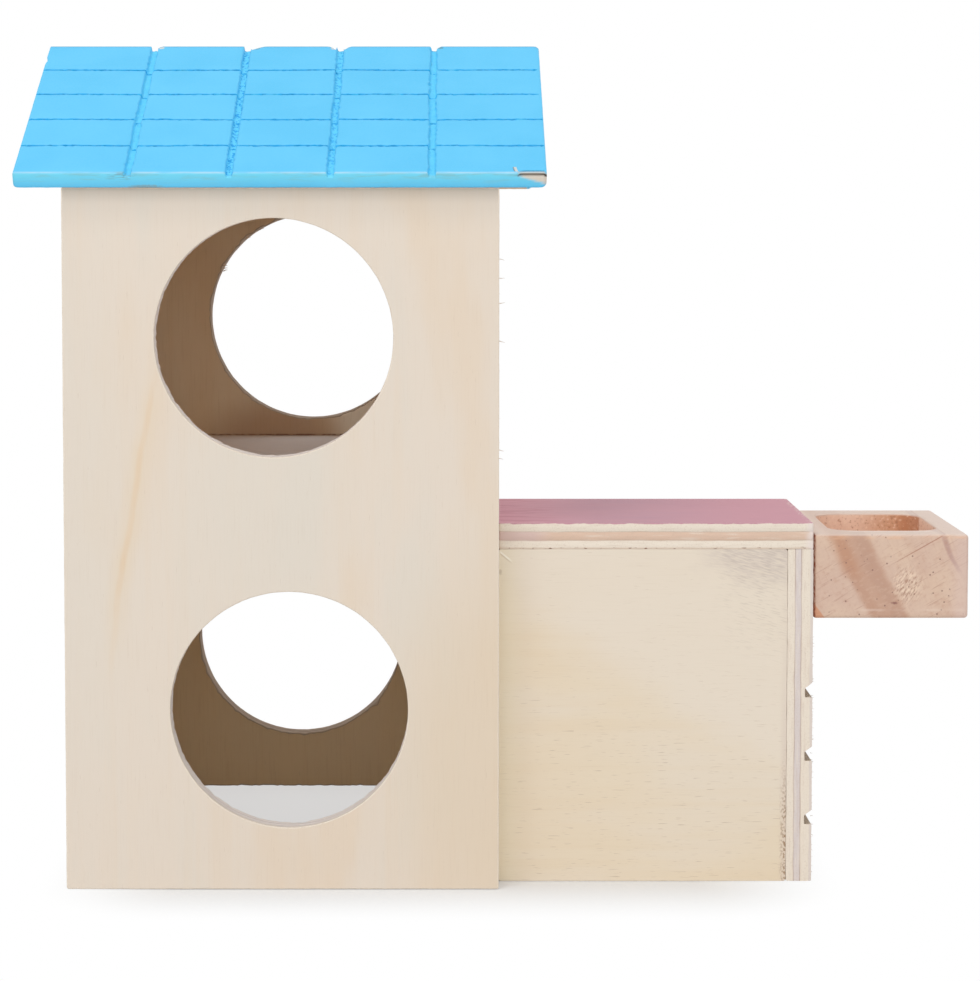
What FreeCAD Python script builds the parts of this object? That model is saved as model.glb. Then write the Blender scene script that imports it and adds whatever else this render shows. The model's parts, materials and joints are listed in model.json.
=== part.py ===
import FreeCAD, Part
import math
import os

# A two-storey plywood hamster house: a tower with a loose gable roof, a low annex whose lid is a
# terrace, and a wooden feeding bowl on the annex's end. Millimetres. +X runs from the tower to the
# bowl, -Y is the front and +Z is up. The origin is on the ground, under the middle of the house.

# Sheet and block stock
wall_ply = 5.5                    # every wall, the upper floor and the terrace
roof_ply = 3.6                    # the two roof slopes

# Tower
tower_width = 91.5
tower_depth = 113.0               # over the front and back walls
upper_floor_top = 87.5
upper_wall_height = 60.8          # of the front and back walls, above the upper floor

# Round doorways in the front and back walls. The back wall is the front wall turned round.
doorway_diameter = 50.0
lower_doorway_sill = 13.3         # above the ground
upper_doorway_sill = 4.3          # above the upper floor
lower_doorway_offset = 1.5        # to the right of the wall's middle, seen from outside
upper_doorway_offset = -1.5

# Doorways in the right wall: one onto the terrace, one down into the annex
terrace_doorway_diameter = 50.0
terrace_doorway_sill = 1.0        # above the upper floor
annex_doorway_diameter = 36.0
annex_doorway_sill = 3.0          # above the ground

# Roof
roof_pitch = 26.4                 # degrees
roof_side_overhang = 9.8          # past each side wall
eave_overhang = 2.1               # top edge of the eave, in front of the wall
shingle_rows = 5
row_kerf_width = 0.45
row_kerf_depth = 1.4
column_grooves = 4
column_pitch = 21.1
column_groove_width = 1.7
column_groove_depth = 1.0

# Annex
annex_length = 67.0               # from the tower's right wall to the end wall's outer face
annex_depth = 50.0
annex_recess = 7.5                # its front, behind the tower's front
terrace_step = 10.5               # from the upper floor down to the terrace

# Climbing steps cut into the outer face of the annex's end wall
lowest_step = 12.3
step_pitch = 13.7
step_depth = 1.6
step_height = 1.9                 # at the bottom of the cut
step_lead_in = 1.2                # how much higher the cut's mouth is
step_clearance = 2.0              # from the highest cut to the underside of the bowl

# Feeding bowl, a block of solid wood with a rounded pocket
bowl_length = 33.2
bowl_width = 48.0
bowl_thickness = 18.0
bowl_drop = 2.5                   # from the terrace down to the bowl's rim
bowl_edge_radius = 0.8
pocket_end_wall = 4.9
pocket_side_wall = 7.3
pocket_floor = 5.0
pocket_corner_radius = 6.0

over_cut = 1.0                    # how far a cutting solid stands past the face that it cuts

# Places that follow from those sizes
overall_length = roof_side_overhang + tower_width + annex_length + bowl_length
tower_left = roof_side_overhang - overall_length / 2
tower_right = tower_left + tower_width
tower_middle = (tower_left + tower_right) / 2
tower_front = -tower_depth / 2
tower_back = tower_depth / 2
inner_left = tower_left + wall_ply
inner_right = tower_right - wall_ply
inner_front = tower_front + wall_ply
inner_back = tower_back - wall_ply
wall_height = upper_floor_top + upper_wall_height

annex_end = tower_right + annex_length
annex_front = tower_front + annex_recess
annex_back = annex_front + annex_depth
annex_middle = (annex_front + annex_back) / 2
terrace_top = upper_floor_top - terrace_step
annex_wall_height = terrace_top - wall_ply

bowl_top = terrace_top - bowl_drop
bowl_bottom = bowl_top - bowl_thickness

pitch_angle = math.radians(roof_pitch)
half_span = tower_depth / 2 + eave_overhang
slope_length = half_span / math.cos(pitch_angle)
roof_left = tower_left - roof_side_overhang
roof_right = tower_right + roof_side_overhang
roof_middle = (roof_left + roof_right) / 2


def roof_underside(y):
    """Height of the roof's underside at a distance y in front of or behind the ridge."""
    return wall_height + (tower_depth / 2 - abs(y)) * math.tan(pitch_angle)


ridge_top = roof_underside(0) + roof_ply / math.cos(pitch_angle)


def block(x_low, x_high, y_low, y_high, z_low, z_high):
    """A box between the given planes."""
    corner = FreeCAD.Vector(x_low, y_low, z_low)
    return Part.makeBox(x_high - x_low, y_high - y_low, z_high - z_low, corner)


def prism(points, direction):
    """A closed outline of points, pulled along a direction."""
    outline = Part.makePolygon(points + points[:1])
    return Part.Face(outline).extrude(direction)


def doorway_along_y(diameter, x, z, y_low, y_high):
    """The round cutter of a doorway in a front or back wall."""
    start = FreeCAD.Vector(x, y_low - over_cut, z)
    length = y_high - y_low + 2 * over_cut
    return Part.makeCylinder(diameter / 2, length, start, FreeCAD.Vector(0, 1, 0))


def doorway_along_x(diameter, y, z, x_low, x_high):
    """The round cutter of a doorway in a side wall."""
    start = FreeCAD.Vector(x_low - over_cut, y, z)
    length = x_high - x_low + 2 * over_cut
    return Part.makeCylinder(diameter / 2, length, start, FreeCAD.Vector(1, 0, 0))


def doorway_wall(y_low, y_high, facing):
    """A front (facing 1) or back (facing -1) wall with its two doorways."""
    wall = block(tower_left, tower_right, y_low, y_high, 0, wall_height)
    radius = doorway_diameter / 2
    lower_z = lower_doorway_sill + radius
    upper_z = upper_floor_top + upper_doorway_sill + radius
    lower_x = tower_middle + facing * lower_doorway_offset
    upper_x = tower_middle + facing * upper_doorway_offset
    for x, z in ((lower_x, lower_z), (upper_x, upper_z)):
        wall = wall.cut(doorway_along_y(doorway_diameter, x, z, y_low, y_high))
    return wall


def gable_wall(x_low, x_high):
    """A side wall between the front and back walls, cut to the roof's slopes at its top."""
    outline = [
        FreeCAD.Vector(x_low, inner_front, 0),
        FreeCAD.Vector(x_low, inner_back, 0),
        FreeCAD.Vector(x_low, inner_back, roof_underside(inner_back)),
        FreeCAD.Vector(x_low, 0, roof_underside(0)),
        FreeCAD.Vector(x_low, inner_front, roof_underside(inner_front)),
    ]
    return prism(outline, FreeCAD.Vector(x_high - x_low, 0, 0))


def right_wall():
    """The side wall that the annex stands against, with the two doorways on that side."""
    wall = gable_wall(inner_right, tower_right)
    terrace_z = upper_floor_top + terrace_doorway_sill + terrace_doorway_diameter / 2
    annex_z = annex_doorway_sill + annex_doorway_diameter / 2
    for diameter, z in ((terrace_doorway_diameter, terrace_z), (annex_doorway_diameter, annex_z)):
        wall = wall.cut(doorway_along_x(diameter, annex_middle, z, inner_right, tower_right))
    return wall


def upper_floor():
    """The floor of the upper room, set in between the four walls."""
    floor_bottom = upper_floor_top - wall_ply
    return block(inner_left, inner_right, inner_front, inner_back, floor_bottom, upper_floor_top)


def slope_board():
    """One roof slope laid flat: the ridge on the X axis, the eave towards -Y, the face at z = 0."""
    mitre = roof_ply * math.tan(pitch_angle)
    outline = [
        FreeCAD.Vector(roof_left, 0, 0),
        FreeCAD.Vector(roof_left, -slope_length, 0),
        FreeCAD.Vector(roof_left, -slope_length, -roof_ply),
        FreeCAD.Vector(roof_left, -mitre, -roof_ply),
    ]
    return prism(outline, FreeCAD.Vector(roof_right - roof_left, 0, 0))


def shingle_cuts():
    """The cutters of one flat slope: fine kerfs between the rows, wider grooves down the columns."""
    cuts = []
    row_pitch = slope_length / shingle_rows
    for row in range(1, shingle_rows):
        y = -row * row_pitch
        cuts.append(block(roof_left - over_cut, roof_right + over_cut,
                          y - row_kerf_width / 2, y + row_kerf_width / 2,
                          -row_kerf_depth, over_cut))
    for column in range(column_grooves):
        x = roof_middle + (column - (column_grooves - 1) / 2) * column_pitch
        cuts.append(block(x - column_groove_width / 2, x + column_groove_width / 2,
                          -slope_length - over_cut, over_cut,
                          -column_groove_depth, over_cut))
    return cuts


def front_roof():
    """The front slope, scored into shingles and tilted into place."""
    slope = slope_board().cut(shingle_cuts())
    slope.rotate(FreeCAD.Vector(0, 0, 0), FreeCAD.Vector(1, 0, 0), roof_pitch)
    slope.translate(FreeCAD.Vector(0, 0, ridge_top))
    return slope


def back_roof():
    """The back slope, the front one's mirror image across the ridge."""
    return front_roof().mirror(FreeCAD.Vector(0, 0, 0), FreeCAD.Vector(0, 1, 0))


def annex_side(y_low, y_high):
    """A long wall of the annex, from the tower to the inner face of the end wall."""
    return block(tower_right, annex_end - wall_ply, y_low, y_high, 0, annex_wall_height)


def step_cut(z):
    """One climbing step: a flat ledge with a sloping lead-in above it, across the whole wall."""
    start = annex_front - over_cut
    lead_slope = step_lead_in / step_depth
    mouth_top = z + step_height + step_lead_in + over_cut * lead_slope
    outline = [
        FreeCAD.Vector(annex_end - step_depth, start, z),
        FreeCAD.Vector(annex_end + over_cut, start, z),
        FreeCAD.Vector(annex_end + over_cut, start, mouth_top),
        FreeCAD.Vector(annex_end - step_depth, start, z + step_height),
    ]
    return prism(outline, FreeCAD.Vector(0, annex_depth + 2 * over_cut, 0))


def annex_end_wall():
    """The annex's end wall, with as many climbing steps as fit below the bowl."""
    wall = block(annex_end - wall_ply, annex_end, annex_front, annex_back, 0, annex_wall_height)
    highest_cut = bowl_bottom - step_clearance
    z = lowest_step
    while z + step_height + step_lead_in < highest_cut:
        wall = wall.cut(step_cut(z))
        z += step_pitch
    return wall


def terrace():
    """The annex's lid, which the upper storey opens onto."""
    return block(tower_right, annex_end, annex_front, annex_back, annex_wall_height, terrace_top)


def feeding_bowl():
    """A softened block glued to the end wall and the terrace's edge, with a food pocket."""
    bowl_end = annex_end + bowl_length
    bowl_front = annex_middle - bowl_width / 2
    bowl_back = annex_middle + bowl_width / 2
    body = block(annex_end, bowl_end, bowl_front, bowl_back, bowl_bottom, bowl_top)
    body = body.makeFillet(bowl_edge_radius, body.Edges)
    pocket = block(annex_end + pocket_end_wall, bowl_end - pocket_end_wall,
                   bowl_front + pocket_side_wall, bowl_back - pocket_side_wall,
                   bowl_bottom + pocket_floor, bowl_top + over_cut)
    corners = [edge for edge in pocket.Edges if edge.BoundBox.ZLength > bowl_edge_radius]
    return body.cut(pocket.makeFillet(pocket_corner_radius, corners))


pieces = {
    "front_wall": doorway_wall(tower_front, inner_front, 1),
    "back_wall": doorway_wall(inner_back, tower_back, -1),
    "left_wall": gable_wall(tower_left, inner_left),
    "right_wall": right_wall(),
    "upper_floor": upper_floor(),
    "front_roof": front_roof(),
    "back_roof": back_roof(),
    "annex_front_wall": annex_side(annex_front, annex_front + wall_ply),
    "annex_back_wall": annex_side(annex_back - wall_ply, annex_back),
    "annex_end_wall": annex_end_wall(),
    "terrace": terrace(),
    "feeding_bowl": feeding_bowl(),
}

os.makedirs("parts", exist_ok=True)
for name, shape in pieces.items():
    shape.exportStep("parts/" + name + ".step")
    print(name, len(shape.Solids), "solid", round(shape.Volume / 1000, 2), "cm3")
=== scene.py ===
import json
import math
import random

import bmesh
import bpy
from mathutils import Matrix, Vector, noise

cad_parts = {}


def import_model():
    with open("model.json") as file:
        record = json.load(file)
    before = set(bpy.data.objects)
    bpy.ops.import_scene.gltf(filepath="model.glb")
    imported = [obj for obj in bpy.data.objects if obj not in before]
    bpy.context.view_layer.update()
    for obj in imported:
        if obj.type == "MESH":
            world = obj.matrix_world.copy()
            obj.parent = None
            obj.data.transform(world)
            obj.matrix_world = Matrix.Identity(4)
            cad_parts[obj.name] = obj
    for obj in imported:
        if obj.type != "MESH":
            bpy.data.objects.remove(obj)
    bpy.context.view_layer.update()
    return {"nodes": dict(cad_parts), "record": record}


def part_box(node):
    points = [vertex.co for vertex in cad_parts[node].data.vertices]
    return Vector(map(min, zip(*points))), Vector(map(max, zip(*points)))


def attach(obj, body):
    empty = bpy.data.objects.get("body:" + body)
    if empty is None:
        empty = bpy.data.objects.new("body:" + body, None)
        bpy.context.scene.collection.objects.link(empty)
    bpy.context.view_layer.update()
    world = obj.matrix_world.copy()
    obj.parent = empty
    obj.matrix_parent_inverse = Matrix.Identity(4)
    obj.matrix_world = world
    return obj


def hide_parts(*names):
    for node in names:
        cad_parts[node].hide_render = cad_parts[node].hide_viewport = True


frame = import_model()

# A two-storey plywood hamster house with a loose blue gable roof, a low annex under a pink terrace
# and a pine feeding bowl. Every board is shaped in millimetres in a flat frame of its own, with its
# outer face up at z = 0, and then stood in its place in metres. +X runs from the tower to the bowl,
# -Y is the front and +Z is up. Finishes are placed in millimetres of the whole house, and their
# colours are given as they look on a screen, from 0 to 255.

METRES = 0.001
RIGHT = Vector((1, 0, 0))
BACK = Vector((0, 1, 0))
UP = Vector((0, 0, 1))
ALONG_X = 0                 # the axis that a board's fibres follow
ALONG_Z = 2

# Sawn plywood
outline_step = 0.9          # spacing of the points along an outline
board_corner = 0.5          # rounding of a board's corners
arris = 0.25                # rounding where a face meets a sawn edge
crisp_arris = 0.03          # the same where two boards are glued flush
lid_arris = 0.08            # the same on the terrace
ply_joint = 0.03            # half width and depth of the line between two plies
saw_wave = 0.03             # waviness of a sawn edge
wave_pitch = 0.35           # waves for each millimetre of edge
wave_shift = (17.3, 5.1, 3.7)       # from one seed's waves to the next one's
tear_reach = 0.9            # how deep torn fibres reach below a face
tear_pitch = 0.9            # torn fibres for each millimetre of edge
chip_reach = 1.5            # how deep a chip reaches below a face
chip_pitch = 2.5            # ripples in a chip for each millimetre of edge
fibre_rings = 4
fibre_taper = 0.72          # from each ring of a torn fibre to the next
fringe_lean = 0.7           # how far the fibres of a fringe lean to their sides
fringe_sag = 0.12           # how far their middles sag, as a share of the longest one
fringe_root = 0.15          # how deep they are rooted
doorway_fuzz = 30           # fibres around the terrace doorway
end_fuzz = 70               # fibres along the annex's end wall

# Doorways
doorway_radius = 25.0
annex_doorway_radius = 18.0

# Roof
shingle_rows = 5
column_grooves = 4
column_pitch = 21.1
slope_step = 0.7            # spacing of the mesh over a slope
left_corner_radius = 1.0    # lower corners of the eave
right_corner_radius = 1.5
corner_reach = 4.0          # how far along the boards those corners are rounded
split_start = 105.0         # where the eave's split skin begins, from the slope's left end
split_depth = 1.8
split_top = 0.55            # the split lies between these depths below the face
split_bottom = 0.95
kerf_in_groove = 1.08       # how much deeper a kerf is where it crosses a groove

# Climbing steps
lowest_step = 12.3
step_pitch = 13.7
step_count = 3
step_depth = 1.6
step_height = 1.9
step_lead_in = 1.2
step_corner = 0.22

# Feeding bowl
bowl_edge = 0.8
bowl_wave = 0.03            # unevenness of its sanded sides
pocket_end_wall = 4.9
pocket_side_wall = 7.3
pocket_floor = 5.0
pocket_corner = 6.0
pocket_rim = 0.4
pocket_foot = 0.7
quarter_steps = 4           # rings around a rounded arris


def smooth(value, low, high):
    """A soft step from 0 to 1 while the value goes from low to high."""
    share = min(1, max(0, (value - low) / (high - low)))
    return share * share * (3 - 2 * share)


# ---------------- frames

def stand(node, right, up):
    """The matrix that stands a flat board up where a node is, and the board's size.
    The flat board starts at (0, 0), and its outer face is at z = 0."""
    turn = Matrix((right, up, right.cross(up))).transposed().to_4x4()
    lay_down = turn.inverted()
    spots = [lay_down @ (vertex.co / METRES) for vertex in frame["nodes"][node].data.vertices]
    low = Vector(min(spot[axis] for spot in spots) for axis in range(3))
    high = Vector(max(spot[axis] for spot in spots) for axis in range(3))
    return turn @ Matrix.Translation((low.x, low.y, high.z)), high - low


def node_box(node):
    """A node's lowest and highest corners."""
    low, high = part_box(node)
    return low / METRES, high / METRES


def opening_middle(name):
    """The middle of one of the record's openings."""
    boxes = {opening["name"]: opening["box_m"] for opening in frame["record"]["physics"]["openings"]}
    low, high = (Vector(corner) / METRES for corner in boxes[name])
    return (low + high) / 2


def flat_spot(place, point):
    """A point of the house in a board's flat frame, dropped onto the board's face."""
    spot = place.inverted() @ point
    return Vector((spot.x, spot.y, 0))


def doorway_spots(place, *doorways):
    """The middles of doorways in a board's flat frame, and their radii."""
    return [(flat_spot(place, opening_middle(doorway)),
             annex_doorway_radius if doorway == "annex_doorway" else doorway_radius)
            for doorway in doorways]


# ---------------- shapes

def round_corners(bm, face, radius):
    """Rounds a lone face's corners, then leaves only its outline, divided into short edges."""
    before = set(bm.edges) - set(face.edges)
    bmesh.ops.bevel(bm, geom=face.verts[:], offset=radius, segments=4, profile=0.5,
                    affect="VERTICES", material=-1)
    bmesh.ops.delete(bm, geom=bm.faces[:], context="FACES_ONLY")
    for edge in [edge for edge in bm.edges if edge not in before]:
        cuts = int(edge.calc_length() / outline_step)
        if cuts:
            bmesh.ops.subdivide_edges(bm, edges=[edge], cuts=cuts)


def grid(bm, middle, size, cells=(1, 1)):
    """A flat grid of cells. Returns its points."""
    place = Matrix.Translation(middle) @ Matrix.Diagonal((size[0], size[1], 1, 1))
    return bmesh.ops.create_grid(bm, x_segments=cells[0], y_segments=cells[1], size=0.5,
                                 matrix=place)["verts"]


def rectangle(bm, low, size, radius, trims=()):
    """A rectangle's outline with round corners, cut off beyond each trim's point and direction."""
    grid(bm, (low[0] + size[0] / 2, low[1] + size[1] / 2, 0), size)
    for point, direction in trims:
        everything = bm.verts[:] + bm.edges[:] + bm.faces[:]
        bmesh.ops.bisect_plane(bm, geom=everything, dist=1e-5, plane_co=point,
                               plane_no=direction, clear_outer=True)
    round_corners(bm, bm.faces[:][-1], radius)


def circle(bm, middle, radius):
    """A round doorway's outline."""
    segments = round(math.tau * radius / outline_step)
    bmesh.ops.create_circle(bm, cap_ends=False, segments=segments, radius=radius,
                            matrix=Matrix.Translation(middle))


def fill(bm, edges, material):
    """Fills flat outlines with a face that keeps its sharp rim."""
    made = bmesh.ops.triangle_fill(bm, use_beauty=True, use_dissolve=False, edges=edges,
                                   normal=(0, 0, 1))["geom"]
    for face in made:
        if isinstance(face, bmesh.types.BMFace):
            face.material_index = material
            face.smooth = False
            if face.normal.z < 0:
                face.normal_flip()


def outline_layers(bm):
    """The layers for a rim point's own place and for the direction off the board there."""
    return bm.verts.layers.float_vector["base"], bm.verts.layers.float_vector["out"]


def note_outline(bm):
    """Makes and fills the outline's layers. Returns the rim's edges."""
    for name in ("base", "out"):
        bm.verts.layers.float_vector.new(name)
    base, out = outline_layers(bm)
    rim = [edge for edge in bm.edges if edge.is_boundary]
    for edge in rim:
        loop = edge.link_loops[0]
        along = loop.link_loop_next.vert.co - loop.vert.co
        away = Vector((along.y, -along.x, 0)).normalized()
        for vertex in edge.verts:
            vertex[out] = vertex[out] + away
    for vertex in bm.verts:
        vertex[base] = vertex.co
        if vertex[out].length:
            vertex[out] = vertex[out] * 2 / vertex[out].length_squared
    return rim


def next_ring(bm, edges, material):
    """Extrudes an outline once. Returns the new points and the new edges."""
    made = bmesh.ops.extrude_edge_only(bm, edges=edges)["geom"]
    points = {item for item in made if isinstance(item, bmesh.types.BMVert)}
    for item in made:
        if isinstance(item, bmesh.types.BMFace):
            item.material_index = material
            item.smooth = True
    return points, [item for item in made
                    if isinstance(item, bmesh.types.BMEdge) and points.issuperset(item.verts)]


def saw(bm, edges, rings, stand_back):
    """Carries an outline down through the rings, each a depth and how far it stands back.
    Returns the last ring's edges."""
    base, out = outline_layers(bm)
    points = {vertex for edge in edges for vertex in edge.verts}
    for number, (depth, recess) in enumerate(rings):
        if number:
            points, edges = next_ring(bm, edges, 1)
        for point in points:
            back = recess + stand_back(point[base], depth)
            point.co = point[base] - point[out] * back - UP * depth
    return edges


def board_rings(thickness, soft):
    """A board's sawn edge: soft arrises at both faces, and a fine line at each glue joint."""
    rings = [(0, soft), (0.3 * soft, 0.3 * soft), (soft, 0)]
    for joint in even_plies(thickness):
        rings += [(joint - ply_joint, 0), (joint, ply_joint), (joint + ply_joint, 0)]
    low = thickness - soft
    return rings + [(low, 0), (low + 0.7 * soft, 0.3 * soft), (thickness, soft)]


def even_plies(thickness):
    """How deep a board's two glue joints lie when its plies are alike."""
    return (thickness / 3, 2 * thickness / 3)


def sawn(thickness, seed, face_tear, back_tear, chips=()):
    """Says how far a sawn edge stands back at a point of its outline and a depth.
    A chip is a spot, a width, a bite and the depth of the face that it breaks out of."""
    shift = Vector([seed * step for step in wave_shift])

    def stand_back(point, depth):
        back = saw_wave * (1 + noise.noise(point * wave_pitch + shift))
        for face_depth, tear in ((0, face_tear), (thickness, back_tear)):
            near = max(0, 1 - abs(depth - face_depth) / tear_reach)
            if near:
                torn = noise.noise(point * tear_pitch + shift + UP * face_depth)
                back += near * tear * max(0, torn)
        for spot, width, bite, face_depth in chips:
            beside = max(0, 1 - (point - spot).length / width)
            below = max(0, 1 - abs(depth - face_depth) / chip_reach)
            ripple = 1 + 0.5 * noise.noise(point * chip_pitch + shift)
            back += bite * ripple * math.sqrt(beside) * below
        return back

    return stand_back


def ring_of_spots(middle, radius):
    """Points on a doorway's outline."""
    turns = range(round(math.tau * radius))
    return [middle + Vector((math.cos(turn / radius), math.sin(turn / radius), 0)) * radius
            for turn in turns]


def doorway_chips(doorways, count, seed, face_depth):
    """Small chips at random points around doorways."""
    draw = random.Random(seed)
    chips = []
    for middle, radius in doorways:
        for spot in draw.sample(ring_of_spots(middle, radius), count):
            chips.append((spot, draw.uniform(0.8, 2.4), draw.uniform(0.12, 0.5), face_depth))
    return chips


def board(size, seed, doorways=(), trims=(), face_tear=0.1, back_tear=0.35, chips=(), soft=arris):
    """A three-ply board lying flat: a face, sawn edges and a back. A doorway is a spot and a radius."""
    bm = bmesh.new()
    rectangle(bm, (0, 0), size, board_corner, trims)
    for middle, radius in doorways:
        circle(bm, middle, radius)
    fill(bm, bm.edges[:], 0)
    rim = note_outline(bm)
    rings = board_rings(size.z, soft)
    fill(bm, saw(bm, rim, rings, sawn(size.z, seed, face_tear, back_tear, chips)), 2)
    return bm


def fibre(bm, root, tip, width, sag, material=1):
    """A torn wood fibre: a thin tapered strand from root to tip, whose middle sags by a vector."""
    turn = (tip - root).to_track_quat("Z", "Y").to_matrix().to_4x4()
    points = bmesh.ops.create_circle(bm, cap_ends=True, segments=5, radius=width / 2,
                                     matrix=Matrix.Translation(root) @ turn)["verts"]
    edges = list({edge for point in points for edge in point.link_edges})
    middle = root
    for ring in range(1, fibre_rings + 1):
        share = ring / fibre_rings
        next_middle = root.lerp(tip, share) + sag * (4 * share * (1 - share))
        points, edges = next_ring(bm, edges, material)
        for point in points:
            point.co = next_middle + (point.co - middle) * fibre_taper
        middle = next_middle
    bmesh.ops.edgeloop_fill(bm, edges=edges, mat_nr=material)


def fringe(bm, spots, seed, longest, width, directions):
    """A sparse fringe of short fibres that stand off a sawn edge."""
    draw = random.Random(seed)
    for spot in spots:
        lean = sum((direction * draw.uniform(-1, 1) for direction in directions[1:]), Vector())
        tip = spot + (directions[0] + lean * fringe_lean).normalized() * draw.uniform(0.4, 1) * longest
        sag = Vector([draw.uniform(-1, 1) for axis in range(3)]) * longest * fringe_sag
        fibre(bm, spot - directions[0] * fringe_root, tip, width * draw.uniform(0.6, 1), sag)


# ---------------- finishes

def srgb(red, green, blue):
    """A colour as the nodes take it."""
    def linear(value):
        share = value / 255
        return share / 12.92 if share <= 0.04045 else ((share + 0.055) / 1.055) ** 2.4
    return (linear(red), linear(green), linear(blue), 1)


class Value:
    """What a node gives. Where it is a number, it can be added, subtracted and multiplied."""

    def __init__(self, nodes, socket):
        self.nodes = nodes
        self.socket = socket

    def __add__(self, other):
        return self.nodes.math("ADD", self, other)

    def __sub__(self, other):
        return self.nodes.math("SUBTRACT", self, other)

    def __mul__(self, other):
        return self.nodes.math("MULTIPLY", self, other)

    def other(self, output):
        """Another output of the same node."""
        return Value(self.nodes, self.socket.node.outputs[output])

    def ramp(self, low, high, start=0.0, end=1.0):
        """A smooth change from start to end while the number goes from low to high."""
        inputs = {"Value": self, "From Min": low, "From Max": high, "To Min": start, "To Max": end}
        return self.nodes.add("ShaderNodeMapRange", inputs, interpolation_type="SMOOTHSTEP")

    def strip(self, half, soft):
        """1 where the number is within half of 0, with a soft border."""
        return self.nodes.math("ABSOLUTE", self).ramp(half, half + soft, 1.0, 0.0)


class Nodes:
    """A node tree, written as sums."""

    def __init__(self, tree):
        self.tree = tree

    def feed(self, socket, value):
        """Joins what a node gives to an input, or sets the input."""
        if isinstance(value, Value):
            self.tree.links.new(value.socket, socket)
        else:
            socket.default_value = value

    def add(self, kind, inputs, output=0, **settings):
        """Adds a node with its settings and inputs. Returns one of its outputs."""
        node = self.tree.nodes.new(kind)
        for name, setting in settings.items():
            setattr(node, name, setting)
        for name, value in inputs.items():
            self.feed(node.inputs[name], value)
        return Value(self, node.outputs[output])

    def math(self, operation, first, second=0.0):
        return self.add("ShaderNodeMath", {0: first, 1: second}, operation=operation)

    def vector(self, operation, first, second=(0, 0, 0), output="Vector"):
        return self.add("ShaderNodeVectorMath", {0: first, 1: second}, output, operation=operation)

    def seen_directly(self):
        """1 for what the camera, a gloss or a glass sees, and 0 for light on the house."""
        path = self.add("ShaderNodeLightPath", {}, "Is Camera Ray")
        seen = path
        for ray in ("Is Glossy Ray", "Is Transmission Ray"):
            seen = self.math("MAXIMUM", seen, path.other(ray))
        return seen


noise_shift = (7.7, 3.1, 5.3)       # from one seed's noise to the next one's
spot_core = 0.3                     # the share of a blemish's reach where it is full


class Finish(Nodes):
    """A material whose patterns are placed in millimetres, and whose tone is laid on in coats."""

    def __init__(self, name, tone=(255, 255, 255), roughness=0.7):
        self.material = bpy.data.materials.new(name)
        self.material.use_nodes = True
        super().__init__(self.material.node_tree)
        self.shader = self.tree.nodes["Principled BSDF"]
        self.shader.inputs["Roughness"].default_value = roughness
        self.shader.inputs["Specular IOR Level"].default_value = 0.3
        self.tone = srgb(*tone)
        place = self.add("ShaderNodeTexCoord", {}, "Object")
        inputs = {0: place, "Scale": 1 / METRES}
        self.point = self.add("ShaderNodeVectorMath", inputs, operation="SCALE")
        self.x = self.add("ShaderNodeSeparateXYZ", {0: self.point})
        self.y = self.x.other("Y")
        self.z = self.x.other("Z")

    def along(self, direction):
        """How far a point lies along a direction."""
        return self.vector("DOT_PRODUCT", self.point, direction, "Value")

    def noise(self, lengths, seed, detail=2.0, slant=0.0):
        """Noise whose grains have the given lengths along X, Y and Z, turned about Y by a slant."""
        point = self.point
        if slant:
            inputs = {"Vector": point, "Angle": slant}
            point = self.add("ShaderNodeVectorRotate", inputs, rotation_type="Y_AXIS")
        inputs = {"Vector": point, "Scale": [1 / length for length in lengths],
                  "Location": [seed * step for step in noise_shift]}
        placed = self.add("ShaderNodeMapping", inputs)
        inputs = {"Vector": placed, "Scale": 1.0, "Detail": detail}
        return self.add("ShaderNodeTexNoise", inputs, "Fac")

    def spot(self, middle, reach, ragged=0.0, seed=0.0, grain=1.0):
        """1 in the middle of a blemish and 0 beyond its reach along X, Y and Z."""
        away = self.vector("DIVIDE", self.vector("SUBTRACT", self.point, middle), reach)
        distance = self.vector("LENGTH", away, output="Value")
        if ragged:
            distance += self.noise((grain, grain, grain), seed) * ragged - ragged / 2
        return distance.ramp(spot_core, 1.0, 1.0, 0.0)

    def attribute(self, name):
        return self.add("ShaderNodeAttribute", {}, "Fac", attribute_name=name)

    def tint(self, share, colour, blend="MIX"):
        """Lays a colour over the tone. Inputs 6 and 7 and output 2 of the node are colours."""
        inputs = {0: share, 6: self.tone, 7: srgb(*colour)}
        self.tone = self.add("ShaderNodeMix", inputs, 2, data_type="RGBA", blend_type=blend)

    def close(self, height, bump, distance=0.0001, rough=None):
        """Joins the tone, the bump and the roughness to the shader."""
        self.feed(self.shader.inputs["Base Color"], self.tone)
        inputs = {"Height": height, "Strength": bump, "Distance": distance}
        self.feed(self.shader.inputs["Normal"], self.add("ShaderNodeBump", inputs))
        if rough:
            self.feed(self.shader.inputs["Roughness"], rough)
        return self.material


def grains(axis, across, length):
    """Grain lengths along X, Y and Z for fibres that follow one axis."""
    lengths = [across, across, across]
    lengths[axis] = length
    return lengths


def dashes(wood, axis, seed, width, length, rarity, share):
    """Sparse short dark pores along the grain."""
    return wood.noise(grains(axis, width, length), seed, detail=1).ramp(rarity, rarity + 0.07, 0, share)


# A veneer's plain, warm and cool tones
cream = ((230, 217, 202), (230, 212, 191), (226, 217, 204))
brown_cream = ((233, 209, 178), (230, 200, 164), (229, 208, 182))
annex_cream = ((232, 216, 192), (229, 209, 180), (232, 219, 201))
floor_cream = ((238, 226, 220), (236, 219, 210), (236, 228, 224))
pore_brown = (186, 164, 142)


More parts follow.
